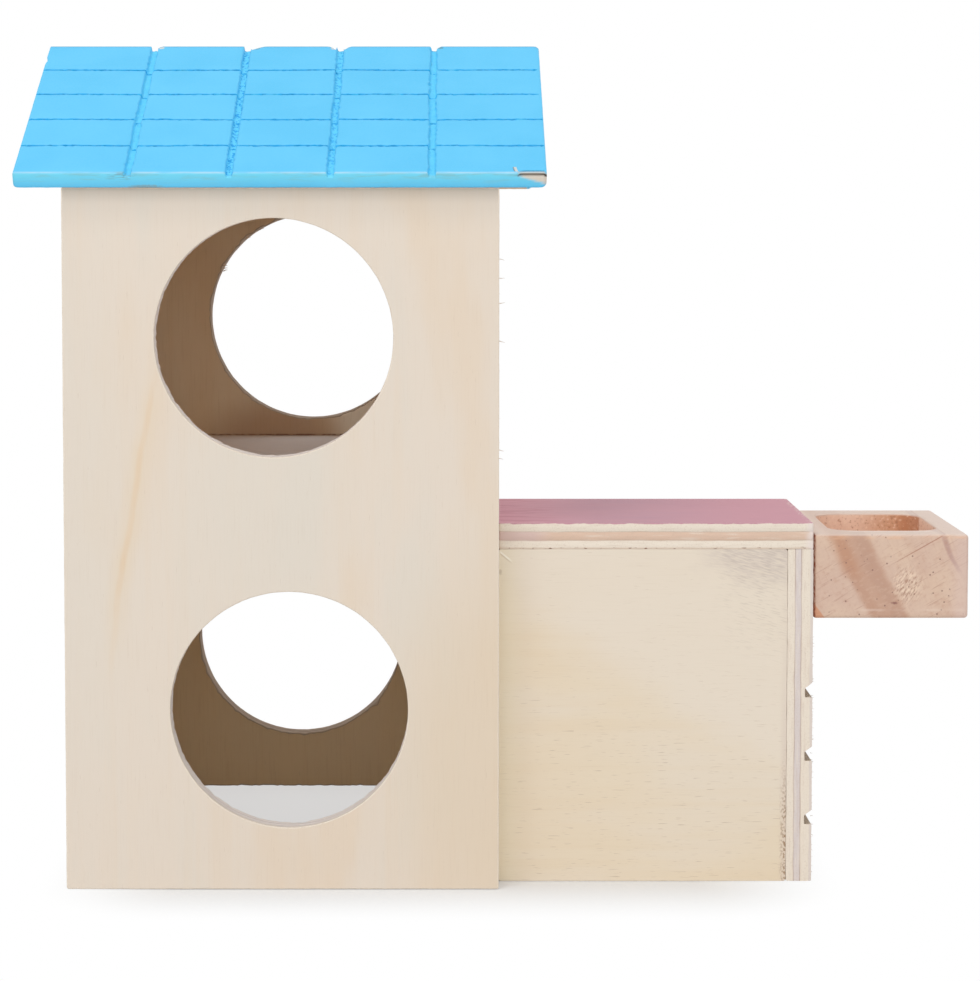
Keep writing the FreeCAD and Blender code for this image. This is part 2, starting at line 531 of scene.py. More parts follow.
def veneer(name, axis, seed, tones=cream, figure=None, fibre_share=0.11):
    """The sanded face of a pale plywood board, whose fibres follow an axis. A figure adds what only
    one board has."""
    plain, warm, cool = tones
    wood = Finish(name, plain)
    cloud = wood.noise(grains(axis, 16, 60), seed, detail=3)
    wood.tint(cloud.ramp(0.5, 0.72, 0, 0.8), warm)
    wood.tint(cloud.ramp(0.5, 0.3, 0, 0.8), cool)
    band = wood.noise(grains(axis, 2.4, 80), seed + 1)
    wood.tint(band.ramp(0.45, 0.75, 0, 0.3), warm)
    if figure:
        figure(wood)
    fibres = wood.noise(grains(axis, 0.3, 9), seed + 2, detail=3)
    wood.tint(fibres.ramp(0.5, 0.8, 0, fibre_share), (222, 210, 196), "MULTIPLY")
    pores = dashes(wood, axis, seed + 3, width=0.2, length=2.6, rarity=0.72, share=0.26)
    wood.tint(pores, pore_brown)
    return wood.close(fibres - pores, bump=0.1, rough=fibres.ramp(0.2, 0.8, 0.62, 0.76))


def inner_veneer(name, axis, seed, figure=None):
    """The back of a board, a browner veneer left as it came."""
    return veneer(name, axis, seed, brown_cream, figure, fibre_share=0.24)


def ply_edge(name, place, joints, seed, core=(218, 202, 190), extra=None):
    """The sawn edge of a three-ply board: cream, a core and cream again, with faint glue lines at
    the joints' depths. An extra adds what only one board has, given the depth below its face."""
    wood = Finish(name, (237, 225, 209), roughness=0.85)
    normal = place.to_3x3() @ UP
    face = normal.dot(place.translation)
    wobble = wood.noise((5, 5, 5), seed, detail=1) * 0.4 + (face - 0.2)
    depth = wobble - wood.along(normal)
    into_core, out_of_core = (depth.ramp(joint - 0.1, joint + 0.1) for joint in joints)
    fuzz = wood.noise((0.25, 0.25, 0.25), seed + 1, detail=3)
    lies_flat = abs(normal.z) > 0.9
    streak = wood.noise((5, 5, 0.5) if lies_flat else (0.5, 0.5, 5), seed + 2, 3)
    wood.tint(into_core - out_of_core, core)
    wood.tint(streak.ramp(0.5, 0.8, 0, 0.6), (238, 226, 212))
    wood.tint(streak.ramp(0.5, 0.25, 0, 0.25), (204, 180, 164))
    wood.tint(fuzz.ramp(0.5, 0.75, 0, 0.28), (200, 180, 160))
    for joint in joints:
        wood.tint((depth - joint).strip(0.05, 0.12) * 0.28, (184, 158, 140))
    if extra:
        extra(wood, depth)
    return wood.close(fuzz, bump=0.3, distance=0.00015)


# ---------------- putting pieces in place

def new_object(name, data):
    """Puts a mesh, the camera or a lamp in the scene."""
    thing = bpy.data.objects.new(name, data)
    bpy.context.scene.collection.objects.link(thing)
    return thing


def new_piece(name, bm, *finishes):
    """Makes a bmesh an object with its materials."""
    mesh = bpy.data.meshes.new(name)
    bm.to_mesh(mesh)
    bm.free()
    for finish in finishes:
        mesh.materials.append(finish)
    return new_object(name, mesh)


def put(name, bm, place, finishes, body, node):
    """Stands a finished piece in its place, in metres, and says what it rides on and replaces."""
    bmesh.ops.recalc_face_normals(bm, faces=bm.faces[:])
    bmesh.ops.transform(bm, matrix=Matrix.Scale(METRES, 4) @ place, verts=bm.verts[:])
    layers = bm.verts.layers.float_vector
    for layer in ("base", "out"):
        layers.remove(layers[layer])
    piece = new_piece(name, bm, *finishes)
    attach(piece, body)
    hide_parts(node)


def three_ply(name, node, right, up, axis, seed, face=None, figure=None, edge=None, rim=None,
              stains=None, fibres=None, slot="bare_plywood", **shape):
    """A plain board of the house, dressed and put in place. A figure, a rim and stains are what only
    this board has on its face, its edges and its back; on the tower some of these are painted light and
    shade."""
    place, size = stand(node, right, up)
    bm = board(size, seed, **shape)
    if fibres:
        fibres(bm, place)
    finishes = [
        face or veneer(name + "_face", axis, seed, figure=figure),
        edge or ply_edge(name + "_edge", place, even_plies(size.z), seed, extra=rim),
        inner_veneer(name + "_back", axis, seed + 4, stains),
    ]
    put(name, bm, place, finishes, "house", node)


# ---------------- the tower

# Clouds on the front: middle, reach, share and colour
front_clouds = (((-50, -56.5, 84), (26, 40, 46), 0.6, cream[2]),
                ((-92, -56.5, 80), (22, 40, 80), 0.5, cream[2]),
                ((2, -56.5, 28), (34, 40, 60), 0.7, (226, 207, 182)))
streak_foot = (-84.2, 23.6)         # X and Z where the resin streak leaves the board's left side
streak_lean = 0.10
streak_bend = 0.0006
eave_height = 148.5


def front_figure(wood):
    """The front board's own figure: a leaning resin streak, a pale cloud between the doorways, a
    warmer right side, and painted shade under the eave."""
    for middle, reach, share, colour in front_clouds:
        wood.tint(wood.spot(middle, reach) * share, colour)
    rise = wood.z - streak_foot[1]
    line = rise * (rise * streak_bend + streak_lean) + streak_foot[0]
    waver = wood.noise((30, 30, 12), 5, detail=1) * 2.0 - 1.0
    beside = wood.x - (line + waver)
    strength = wood.z.ramp(40, 72) * wood.z.ramp(116, 88) * wood.noise((4, 4, 14), 6)
    wood.tint(beside.strip(0.3, 3.2) * strength, (230, 209, 180))
    wood.tint(beside.strip(0.2, 0.8) * strength, (228, 200, 166))
    # Painted shade: two darker bands under the eave, standing in for the shade of its overhang.
    for reach, share, colour in ((11, 0.18, (150, 142, 132)), (4, 0.36, (140, 130, 118))):
        wood.tint(wood.z.ramp(eave_height - reach, eave_height, 0, share), colour)


def off_the_sides(wood):
    """1 on the tower's doorway rims and 0 on its boards' own side edges."""
    low, high = node_box("front_wall")
    return wood.x.ramp(low.x + 1, low.x + 2) * wood.x.ramp(high.x - 1, high.x - 2)


def painted_light_rims(wood, depth):
    """Painted light: paler wood at the front doorways' sawn rims than at the board's outer edges, standing
    in for the light that falls on them.
    """
    wood.tint(off_the_sides(wood) * depth.ramp(0.4, 1.0) * 0.8, (254, 245, 240))


def painted_shade_rims(wood, depth):
    """Painted shade: the back doorways' rims darkened to brown, to match the shaded wall inside the tower.
    """
    wood.tint(off_the_sides(wood) * 0.6, (158, 124, 94))


def tower_front():
    place, size = stand("front_wall", RIGHT, UP)
    doorways = doorway_spots(place, "front_lower_doorway", "front_upper_doorway")
    chips = doorway_chips(doorways, count=7, seed=31, face_depth=size.z)
    three_ply("tower_front", "front_wall", RIGHT, UP, ALONG_Z, 1, figure=front_figure, rim=painted_light_rims,
              doorways=doorways, chips=chips, back_tear=0.5)


# The back's upper doorway: X and Z of larger nicks, with their width and bite, and of torn tufts
back_nicks = ((-65.2, 128.5, 1.1, 0.5), (-59.8, 135.4, 1.8, 0.6), (-57.0, 139.1, 1.6, 0.45))
tuft_foots = ((-65.6, 128.0), (-59.9, 136.0), (-56.6, 138.2))


def back_fibres(bm, place):
    """Torn tufts on the upper doorway's inner edge."""
    flat = place.inverted()
    for x, z in tuft_foots:
        for lift in (0, 0.6, 1.3):
            root = flat @ Vector((x, 51.3, z + lift))
            tip = flat @ Vector((x + 1.0, 51.2, z + 0.3 + 0.8 * lift))
            fibre(bm, root, tip, width=0.35, sag=Vector((0, 0.1, 0)), material=2)


def back_marks_and_painted_light(wood):
    """A dark speckled line where the back wall stands on the upper floor, painted shade on the wall
    along the floor, a pool of painted light beside it, and a warmer tone in the lower room."""
    floor_top = node_box("upper_floor")[1].z
    above = wood.z - floor_top
    wood.tint(above.ramp(-8, -30, 0, 0.5), (240, 208, 160))
    # Painted light: a paler pool on the wall, standing in for light that falls in through the doorways.
    wood.tint(wood.spot((-32, 51, floor_top + 5), (10, 30, 16)) * 0.8, (255, 244, 226))
    # Painted shade: a brown darkening low on the wall along the upper floor.
    wood.tint(wood.spot((-53, 51, floor_top), (22, 30, 12)) * 0.65, (186, 144, 110))
    specks = wood.noise((1.1, 1, 0.4), 17, detail=2).ramp(0.35, 0.6, 0.4, 1)
    wood.tint(above.strip(0.2, 0.3) * specks * 0.8, (120, 78, 60))


def tower_back():
    place, size = stand("back_wall", -RIGHT, UP)
    doorways = doorway_spots(place, "back_lower_doorway", "back_upper_doorway")
    chips = doorway_chips(doorways, count=9, seed=41, face_depth=size.z)
    for x, z, width, bite in back_nicks:
        chips.append((flat_spot(place, Vector((x, 0, z))), width, bite, size.z))
    three_ply("tower_back", "back_wall", -RIGHT, UP, ALONG_Z, 11, rim=painted_shade_rims, stains=back_marks_and_painted_light,
              fibres=back_fibres, doorways=doorways, chips=chips, back_tear=0.6)


def gable_trims(size):
    """Cuts a side wall's top to the slopes of the roof."""
    low, high = node_box("left_wall")
    front_low, front_high = node_box("front_wall")
    run = size.x / 2
    peak = high.z - low.z
    front_thickness = front_high.y - front_low.y
    rise = (peak - (front_high.z - front_low.z)) * run / (run + front_thickness)
    slope = math.atan2(rise, run)
    top = Vector((run, peak, 0))
    return [(top, Vector((side * math.sin(slope), math.cos(slope), 0))) for side in (-1, 1)]


whisker_heights = (132.9, 129.0, 123.6, 115.9, 91.7, 88.9)


def right_fringe(bm, place):
    """Fuzz around the terrace doorway's sawn edge, and a few long whiskers on its front side."""
    draw = random.Random(57)
    middle = opening_middle("terrace_doorway")
    around = ring_of_spots(flat_spot(place, middle), doorway_radius - 0.15)
    spots = [spot - UP * 0.3 for spot in draw.sample(around, doorway_fuzz)]
    fringe(bm, spots, seed=58, longest=0.9, width=0.2, directions=(UP, RIGHT, BACK))
    for height in whisker_heights:
        beside = math.sqrt(doorway_radius ** 2 - (height - middle.z) ** 2)
        root = flat_spot(place, Vector((0, middle.y - beside, height))) - UP * 0.2
        tip = root + Vector((draw.uniform(-0.6, 0.2), draw.uniform(-0.5, 0.7), 1.5))
        fibre(bm, root, tip, width=0.28, sag=Vector((0, draw.uniform(-0.15, 0.15), 0)))


def tower_sides():
    size = stand("left_wall", -BACK, UP)[1]
    three_ply("tower_left", "left_wall", -BACK, UP, ALONG_Z, 21, trims=gable_trims(size))
    place, size = stand("right_wall", BACK, UP)
    doorways = doorway_spots(place, "annex_doorway", "terrace_doorway")
    chips = doorway_chips(doorways, count=7, seed=51, face_depth=0)
    three_ply("tower_right", "right_wall", BACK, UP, ALONG_Z, 26, fibres=right_fringe,
              doorways=doorways, chips=chips, trims=gable_trims(size), face_tear=0.45)


def tower_floor():
    three_ply("tower_floor", "upper_floor", RIGHT, BACK, ALONG_X, 60,
              face=veneer("tower_floor_face", ALONG_X, 61, floor_cream))


# ---------------- the roof

def cut_stations(length, middles, profile, step):
    """Places across a slope: close together at each cut and evenly spaced between the cuts.
    A station is its cut's middle, or None, its offset from there, and its depth."""
    edge = profile[-1][0]
    stations = []
    start = 0.0
    for middle in middles + [None]:
        end = length if middle is None else middle - edge
        count = max(1, round((end - start) / step))
        first = 0 if start == 0 else 1
        last = count + 1 if middle is None else count
        stations += [(None, start + (end - start) * number / count, 0.0)
                     for number in range(first, last)]
        if middle is not None:
            stations += [(middle, offset, depth) for offset, depth in profile]
            start = middle + edge
    return stations


def both_sides(half):
    """A cut's whole profile, from its half on the far side of its middle."""
    return [(-offset, depth) for offset, depth in reversed(half)] + half


kerf_profile = both_sides([(0.26, 1.3), (0.3, 0.6), (0.35, 0.15), (0.41, 0.0), (0.62, 0.0)])
groove_profile = both_sides([(0.3, 1.0), (0.66, 0.97), (0.76, 0.5), (0.85, 0.08), (1.1, 0.0)])


def station_place(station):
    return station[1] + (station[0] or 0)


def cut_place(station, beside, seed, wander, narrowing):
    """A station's place, where the saw has wandered and the cut has closed up a little."""
    middle, offset = station[:2]
    if middle is None:
        return offset
    drift = wander * noise.noise(Vector((beside * 0.06, middle, seed)))
    side = 2 if offset > 0 else -2
    rough = 0.36 * noise.noise(Vector((beside * 1.5, middle * 3 + side, seed)))
    width = 1 - narrowing * max(0, noise.noise(Vector((beside * 0.3, middle * 3, seed + 5))))
    return middle + drift + rough + offset * width


def kerf_opening(x, y, size, seed):
    """How open a kerf is: paint bridges it here and there, and the upper two end short."""
    bridged = smooth(noise.noise(Vector((x * 0.4, y * 3, seed))), 0.3, 0.42)
    filled = 0.8 * smooth(noise.noise(Vector((x * 1.4, y * 3, seed + 2))), 0.12, 0.4)
    short = smooth(x, size.x - 1.3, size.x - 0.6) if y > size.y / 2 else 0
    return (1 - bridged) * (1 - filled) * (1 - short)


# Where the ridge's edge is worn down beside a groove: X of the groove's side, reach along the
# ridge, and drop
ridge_worn = ((-54.9, 3.4, 0.75), (-35.5, -1.9, 0.85), (-33.8, 1.5, 0.7), (-12.7, 0.9, 0.45),
              (-76.0, 0.9, 0.35), (10.35, -1.0, 0.3))
ridge_worn_width = 2.2


def ridge_drop(x, below_ridge):
    """How far the ridge's edge is worn down at a place of the house."""
    drop = 0
    for side, reach, deepest in ridge_worn:
        share = (x - side) / reach
        if 0 <= share < 1:
            drop = max(drop, deepest * (1 - share) ** 1.4)
    return drop * smooth(1 - below_ridge / ridge_worn_width, 0, 1)


def eave_split(x, depth, size):
    """How far the eave stands back where its skin has split off at the right corner, how bare the
    wood is there, and how much painted shade darkens the slot."""
    inside = smooth(x, split_start, split_start + 0.7)
    slot = inside * smooth(size.x - x, 0.05, 0.7)
    if depth < split_top:
        return 0.6 * inside, 0.9 * inside * smooth(depth, 0.05, 0.3), 0
    if depth < split_bottom:
        return split_depth * slot, inside, inside
    triangle = 1.0 + 1.9 * (x - split_start - 0.8) / (size.x - split_start)
    return 0, inside * smooth(triangle - depth, -0.25, 0.25), 0


# Down the slope's rim: depth below the face, and how far the rim stands back
slope_rings = ((0, 0.3), (0.09, 0.09), (0.3, 0), (0.5, 0), (0.6, 0), (0.88, 0), (1.0, 0), (1.2, 0),
               (1.5, 0), (1.9, 0), (2.4, 0), (2.9, 0), (3.2, 0.02), (3.45, 0.1), (3.6, 0.28))
arris_wear = (0.5, 0.8, 0.15)       # how worn the eave's first rings are
rim_width = 0.01                    # how near to a slope's edge a point counts as on it


def corner_back(depth, thickness, radius):
    """How far the eave's lower corner is rounded back at a depth."""
    below = depth - (thickness - radius)
    return radius - math.sqrt(radius * radius - below * below) if below > 0 else 0


def eave_end_x(spot, depth, size):
    """A rim point's x, drawn in where the eave's lower corners are rounded."""
    share = 1 - smooth(spot.y, 0, corner_reach)
    left = corner_back(depth, size.z, left_corner_radius) * share
    right = corner_back(depth, size.z, right_corner_radius) * share
    if spot.x < corner_reach:
        return left + spot.x * (corner_reach - left) / corner_reach
    if spot.x > size.x - corner_reach:
        return size.x - right - (size.x - spot.x) * (corner_reach - right) / corner_reach
    return spot.x


def square_out(spot, size):
    """The direction off a slope at a point of its rim, square at its corners."""
    sideways = -1 if spot.x < rim_width else 1 if spot.x > size.x - rim_width else 0
    downward = -1 if spot.y < rim_width else 0
    return Vector((sideways, downward, 0))


def slope_layers(bm, *names):
    """What is noted at a slope's points, from 0 to 1 but for depths: how low the face is, how deep
    a kerf and a groove are, how worn and bare the wood is, and how much painted shade darkens it."""
    return [bm.verts.layers.float[name] for name in names]


def slope_face(size, place, seed):
    """A slope's outer face, scored into shingles, its eave at y = 0 and its ridge at the far side."""
    rows = [row * size.y / shingle_rows for row in range(1, shingle_rows)]
    columns = [size.x / 2 + (number - (column_grooves - 1) / 2) * column_pitch
               for number in range(column_grooves)]
    across = cut_stations(size.x, columns, groove_profile, slope_step)
    upward = cut_stations(size.y, rows, kerf_profile, slope_step)
    bm = bmesh.new()
    cells = (len(across) - 1, len(upward) - 1)
    grid(bm, (cells[0] / 2, cells[1] / 2, 0), cells, cells)
    for name in ("top", "kerf", "groove", "wear", "bare", "split_shade"):
        bm.verts.layers.float.new(name)
    top, kerf, groove = slope_layers(bm, "top", "kerf", "groove")
    for vertex in bm.verts:
        column = across[round(vertex.co.x)]
        row = upward[round(vertex.co.y)]
        nominal_x = station_place(column)
        nominal_y = station_place(row)
        x = cut_place(column, nominal_y, seed, wander=0.2, narrowing=0.12)
        y = cut_place(row, nominal_x, seed + 3, wander=0.3, narrowing=0.45)
        in_groove = column[2] > 0.5
        opening = kerf_in_groove if in_groove else kerf_opening(nominal_x, nominal_y, size, seed)
        kerf_depth = row[2] * opening
        vertex[groove] = column[2]
        vertex[kerf] = max(0, kerf_depth - column[2])
        worn = ridge_drop((place @ Vector((nominal_x, 0, 0))).x, size.y - nominal_y)
        rough = 1 + 0.3 * noise.noise(Vector((nominal_x * 2.1, nominal_y * 1.1, seed + 7)))
        vertex[top] = max(column[2] * rough, kerf_depth, worn)
        vertex.co = (x, y, -vertex[top])
    for face in bm.faces:
        face.smooth = True
    return bm


def roof_slope(size, place, pitch, seed, split):
    """One slope lying flat, mitred at the ridge and soft at the eave."""
    bm = slope_face(size, place, seed)
    edges = note_outline(bm)
    base, out = outline_layers(bm)
    top, kerf, groove, wear, bare, split_shade = slope_layers(bm, "top", "kerf", "groove", "wear", "bare", "split_shade")
    points = {vertex for edge in edges for vertex in edge.verts}
    for point in points:
        point[out] = square_out(point[base], size)
    for number, (depth, recess) in enumerate(slope_rings):
        if number:
            points, edges = next_ring(bm, edges, 0)
        for point in points:
            spot = point[base]
            notch = point[top]
            lowered = notch + (size.z - notch) * depth / size.z
            back = recess + saw_wave * (1 + noise.noise(spot * wave_pitch + Vector((seed, 0, depth))))
            back += 0.12 * smooth(depth, 2.6, 3.4) * noise.noise(spot * 0.8 + Vector((0, seed, 0)))
            back = max(0, back)
            if number:
                point[kerf] = 0
                point[groove] = 0
            on_eave = spot.y < rim_width
            on_arris = number < len(arris_wear) and on_eave and notch < 0.1
            point[wear] = arris_wear[number] if on_arris else 0
            if split and on_eave:
                further, point[bare], point[split_shade] = eave_split(spot.x, depth, size)
                back += further
            if split and spot.x < rim_width:
                back += 0.4 * max(0, 1 - abs(spot.y - size.y + 7.5) / 1.8)
            rim = Vector((eave_end_x(spot, depth, size), spot.y, 0)) - point[out] * back
            if spot.y > size.y - rim_width:
                rim.y = size.y - lowered * math.tan(pitch) - 0.02
            point.co = rim - UP * lowered
    fill(bm, edges, 1)
    if split:
        curled_flake(bm)
    return bm


def curled_flake(bm):
    """The scrap of skin that curls up where the split begins."""
    points = grid(bm, (split_start - 0.1, 0.85, 0.22), (0.7, 1.1), cells=(3, 5))
    bare, split_shade = slope_layers(bm, "bare", "split_shade")
    for vertex in points:
        along = vertex.co.y - 0.3
        # Painted shadow along the flake's left edge.
        vertex[split_shade] = 0.7 if vertex.co.x < split_start - 0.4 else 0
        vertex.co.z += 0.55 * along * along - 0.25
        vertex.co.x -= 0.45 * along
        vertex[bare] = 0.8
    faces = list({face for vertex in points for face in vertex.link_faces})
    bmesh.ops.solidify(bm, geom=faces, thickness=0.14)


# X of the grooves whose floor the saw has torn, and how badly
torn_floors = ((-55.7, 0.85), (-34.6, 0.5))


def torn_grooves(paint):
    """How torn the floor of a groove is, from its place along the roof."""
    share = 0.12
    for x, torn in torn_floors:
        share = (paint.x - x).strip(3, 4) * torn + share
    return share


def blue_paint(name, seed):
    """Matt water paint: even, with painted shade in the kerfs and painted light on the groove floors,
    rough in the grooves, chalky along the eave's arris, gone where the skin has split, and painted shade in
    the split."""
    paint = Finish(name, (96, 202, 249), roughness=0.6)
    paint.tint(paint.noise((14, 14, 14), seed).ramp(0.3, 0.7), (102, 206, 252))
    speck = paint.noise((0.5, 0.5, 0.5), seed + 1, detail=3)
    paint.tint(speck.ramp(0.6, 0.8, 0, 0.12), (86, 186, 240))
    groove = paint.attribute("groove").ramp(0.1, 0.9)
    # Painted light: the groove floors painted lighter than the face, against the shade between the groove's
    # walls.
    paint.tint(groove * 0.7, (108, 222, 255))
    lump = paint.noise((0.7, 0.7, 0.9), seed + 2, detail=3)
    paint.tint(groove * torn_grooves(paint) * lump.ramp(0.5, 0.58, 0, 0.95), (30, 168, 232))
    # Painted shade: the kerfs painted darker and bluer than the face, broken by darker flecks.
    kerf = paint.attribute("kerf").ramp(0.0, 0.15)
    faint = paint.noise((3, 3, 3), seed + 3).ramp(0.35, 0.65, 0.65, 1.0)
    paint.tint(kerf * faint, (44, 192, 246))
    broken = paint.noise((0.9, 0.9, 0.9), seed + 9, detail=2).ramp(0.48, 0.6, 0, 0.45)
    paint.tint(kerf * broken, (16, 150, 208))
    eave_marks(paint, seed)
    chalk = paint.noise((5, 1, 1), seed + 4).ramp(0.3, 0.65, 0.2, 0.8)
    paint.tint(paint.attribute("wear") * chalk, (204, 230, 242))
    paint.tint(paint.attribute("bare"), (226, 216, 202))
    # Painted shade in the split's slot and beside the curled flake.
    paint.tint(paint.attribute("split_shade"), (70, 44, 38))
    return paint.close(speck + groove * lump, bump=0.2, rough=speck.ramp(0.3, 0.7, 0.54, 0.66))


# Nicks in the paint along the ridge: X, and the colour of what shows
bare_wood = (222, 222, 216)
grey_wood = (96, 160, 184)
ridge_nicks = ((-75.3, bare_wood), (-53.6, grey_wood), (-36.3, bare_wood), (-12.0, grey_wood))
eave_top = 151.2


def eave_marks(paint, seed):
    """Painted light on the eave face, grey-green stains on the eave, one worn patch beside the first
    groove, and the ridge's nicks.
    """
    eave = node_box("front_roof")[0].y
    on_eave = paint.y.ramp(eave + 0.1, eave + 1.7, 1, 0) * paint.z.ramp(eave_top + 0.2, eave_top - 0.2)
    # Painted light: the eave face painted lighter than the slope, evening out the lesser light it gets.
    paint.tint(on_eave, (122, 226, 255))
    stain = paint.noise((6, 2, 0.8), seed + 5, detail=3).ramp(0.46, 0.7, 0, 0.6)
    paint.tint(on_eave * stain, (138, 196, 206))
    patch = paint.spot((-78.4, -58.3, 150.6), (4.0, 3, 1.3), ragged=0.8, seed=seed, grain=1.2)
    streaks = paint.noise((3.0, 1, 0.28), seed + 8, detail=3).ramp(0.42, 0.6)
    paint.tint(patch * streaks * 0.85, (122, 176, 194))
    rubbed = paint.spot((-73.4, -57.2, 148.4), (5.0, 2, 0.5), ragged=0.9, seed=seed, grain=0.8)
    paint.tint(rubbed * 0.8, (138, 170, 180))
    for x, colour in ridge_nicks:
        nick = paint.spot((x, -0.7, 179.9), (0.9, 0.9, 0.7), ragged=0.9, seed=x, grain=0.5)
        paint.tint(nick, colour)


def roof():
    corners = [vertex.co / METRES for vertex in frame["nodes"]["front_roof"].data.vertices]
    peak = max(corners, key=lambda corner: corner.z)
    eave = min(corners, key=lambda corner: corner.y)
    pitch = math.atan2(peak.z - eave.z, peak.y - eave.y)
    for name, node, side, seed in (("front_slope", "front_roof", 1, 3), ("back_slope", "back_roof", -1, 8)):
        uphill = Vector((0, side * math.cos(pitch), math.sin(pitch)))
        place, size = stand(node, RIGHT * side, uphill)
        bm = roof_slope(size, place, pitch, seed, split=side > 0)
        finishes = [blue_paint(name + "_paint", seed),
                    inner_veneer(name + "_underside", ALONG_X, seed)]
        put(name, bm, place, finishes, "roof", node)


# ---------------- the annex

# The torn corner under the terrace: middle and reach of its grey smudge and of its scuffs
smudge_place = ((58, -49, 71), (17, 20, 10))
scuff_place = ((58, -49, 64), (14, 20, 20))
splinter_start = Vector((0.75, 0, 71.0))
splinter_end = Vector((3.7, 0, 68.6))


def annex_figure(wood):
    """The annex front's own figure: paler above a slanting border, a grey smudge and scuffs in the
    upper right corner, short dark pores, torn fibres and painted shade up its right side, and painted light
    beside the tower."""
    border = wood.noise((16, 16, 8), 74) * 14.0 + wood.along((0.508, 0, 0.861))
    wood.tint(border.ramp(52, 66, 0, 0.85), (233, 221, 205))
    fibres = wood.noise((2.2, 0.3, 0.3), 75, detail=3, slant=math.radians(-14))
    smudge = wood.spot(*smudge_place, ragged=0.7, seed=76, grain=5)
    wood.tint(smudge * fibres.ramp(0.25, 0.75, 0.15, 0.9), (204, 190, 181))
    scuffed = wood.spot(*scuff_place, ragged=0.8, seed=73, grain=6)
    wood.tint(scuffed * fibres.ramp(0.5, 0.7, 0, 0.5), (206, 192, 176))
    low = wood.z.ramp(58, 18, 0.12, 1)
    pores = dashes(wood, ALONG_X, 77, width=0.22, length=3.4, rarity=0.66, share=0.6)
    wood.tint(low * pores, pore_brown)
    # Painted shade: a grey band down the right edge, where the front meets the end wall, stronger towards
    # the bottom.
    side = wood.x.ramp(60.3, 61.9)
    wood.tint(side * wood.z.ramp(62, 10, 0.1, 0.6), (214, 196, 184))
    torn = wood.noise((0.45, 0.5, 0.6), 78, detail=3).ramp(0.48, 0.58)
    wood.tint(side * wood.z.ramp(30, 10) * torn, (166, 138, 110))
    # Painted light: paler wood beside the tower, lifting the shadow that the tower casts there.
    painted_light_beside_tower = wood.x.ramp(7, 1, 0, 0.55)
    wood.tint(painted_light_beside_tower, (242, 232, 206))
    mark = wood.spot((0.9, -49, 66.6), (0.45, 3, 0.9), ragged=0.5, seed=79)
    wood.tint(mark * 0.45, (176, 160, 140))
    splinter(wood)


def splinter(wood):
    """A fine pale splinter with a thin shade under it, in the front's upper left corner."""
    off = (splinter_end - splinter_start).normalized().cross(BACK)
    beside = wood.along(off) - off.dot(splinter_start)
    reach = (wood.x.ramp(splinter_start.x, splinter_start.x + 0.3)
             * wood.x.ramp(splinter_end.x, splinter_end.x - 1.2))
    wood.tint((beside + 0.3).strip(0.1, 0.14) * reach * 0.35, (196, 176, 150))
    wood.tint(beside.strip(0.12, 0.12) * reach * 0.9, (252, 246, 232))


def annex_walls():
    three_ply("annex_front", "annex_front_wall", RIGHT, UP, ALONG_X, 70, soft=crisp_arris, face_tear=0,
              face=veneer("annex_front_face", ALONG_X, 71, annex_cream, annex_figure))
    three_ply("annex_back", "annex_back_wall", -RIGHT, UP, ALONG_X, 80)


def stepped_profile(bm, size):
    """The end wall's side view, with its climbing steps cut into the outer face."""
    outer, inner = size.x, size.x - step_depth
    spots = [(0, 0), (outer, 0)]
    for number in range(step_count):
        ledge = lowest_step + number * step_pitch
        roof_of_cut = ledge + step_height
        spots += [(outer, ledge), (inner, ledge), (inner, roof_of_cut),
                  (outer, roof_of_cut + step_lead_in)]
    spots += [(outer, size.y), (0, size.y)]
    face = bm.faces.new([bm.verts.new((x, y, 0)) for x, y in spots])
    round_corners(bm, face, step_corner)


def annex_end():
    place, size = stand("annex_end_wall", RIGHT, UP)
    bm = bmesh.new()
    stepped_profile(bm, size)
    fill(bm, bm.edges[:], 1)
    rim = note_outline(bm)
    rings = [(0, crisp_arris), (crisp_arris, 0)]
    rings += [(depth, 0) for depth in range(1, int(size.z))]
    rings += [(size.z - crisp_arris, 0), (size.z, crisp_arris)]
    fill(bm, saw(bm, rim, rings, sawn(size.z, seed=91, face_tear=0.1, back_tear=0.1)), 1)
    for face in bm.faces:
        if abs(face.normal.x) > 0.7:
            face.material_index = 0
    end_fringe(bm, size)
    finishes = [veneer("annex_end_face", ALONG_Z, 92), end_edge()]
    put("annex_end", bm, place, finishes, "house", "annex_end_wall")


def end_fringe(bm, size):
    """Fuzz along the outer face's front edge, and a tuft in the mouth of each step."""
    draw = random.Random(94)
    below_bowl = 55.0
    spots = [Vector((size.x - 0.1, draw.uniform(1, below_bowl), -draw.uniform(0.1, 1.2)))
             for number in range(end_fuzz)]
    fringe(bm, spots, seed=95, longest=0.55, width=0.16, directions=(RIGHT, BACK, UP))
    for number in range(step_count):
        ledge = lowest_step + number * step_pitch
        spots = [Vector((size.x - 0.5 - 0.3 * strand, ledge + 0.1, -0.3 - 0.4 * strand))
                 for strand in range(3)]
        fringe(bm, spots, seed=96 + number, longest=0.9, width=0.22, directions=(RIGHT, BACK))


end_joints = (2.5, 3.85)            # the end wall's thin core


def end_edge():
    """The end wall's edge: a thin lilac-grey core between two fine brown lines, and painted shade
    inside the steps."""
    front = node_box("annex_end_wall")[0].y

    def lines(wood, depth):
        spread = wood.noise((3, 3, 9), 98).ramp(0.4, 0.7, 0.1, 0.6)
        for joint in end_joints:
            wood.tint((depth - joint).strip(0.03, 0.12) * spread, (178, 152, 140))
        wood.tint(depth.ramp(0.75, 0.5) * 0.6, (216, 204, 200))
        # Painted shade: darker brown on the faces inside the step cuts.
        in_cut = depth.ramp(step_depth + 0.2, step_depth) * wood.y.ramp(front + 0.1, front + 0.3)
        wood.tint(in_cut * 0.85, (178, 164, 146))

    side_on = stand("annex_end_wall", BACK, UP)[0]
    return ply_edge("annex_end_edge", side_on, end_joints, 93, core=(221, 210, 206), extra=lines)


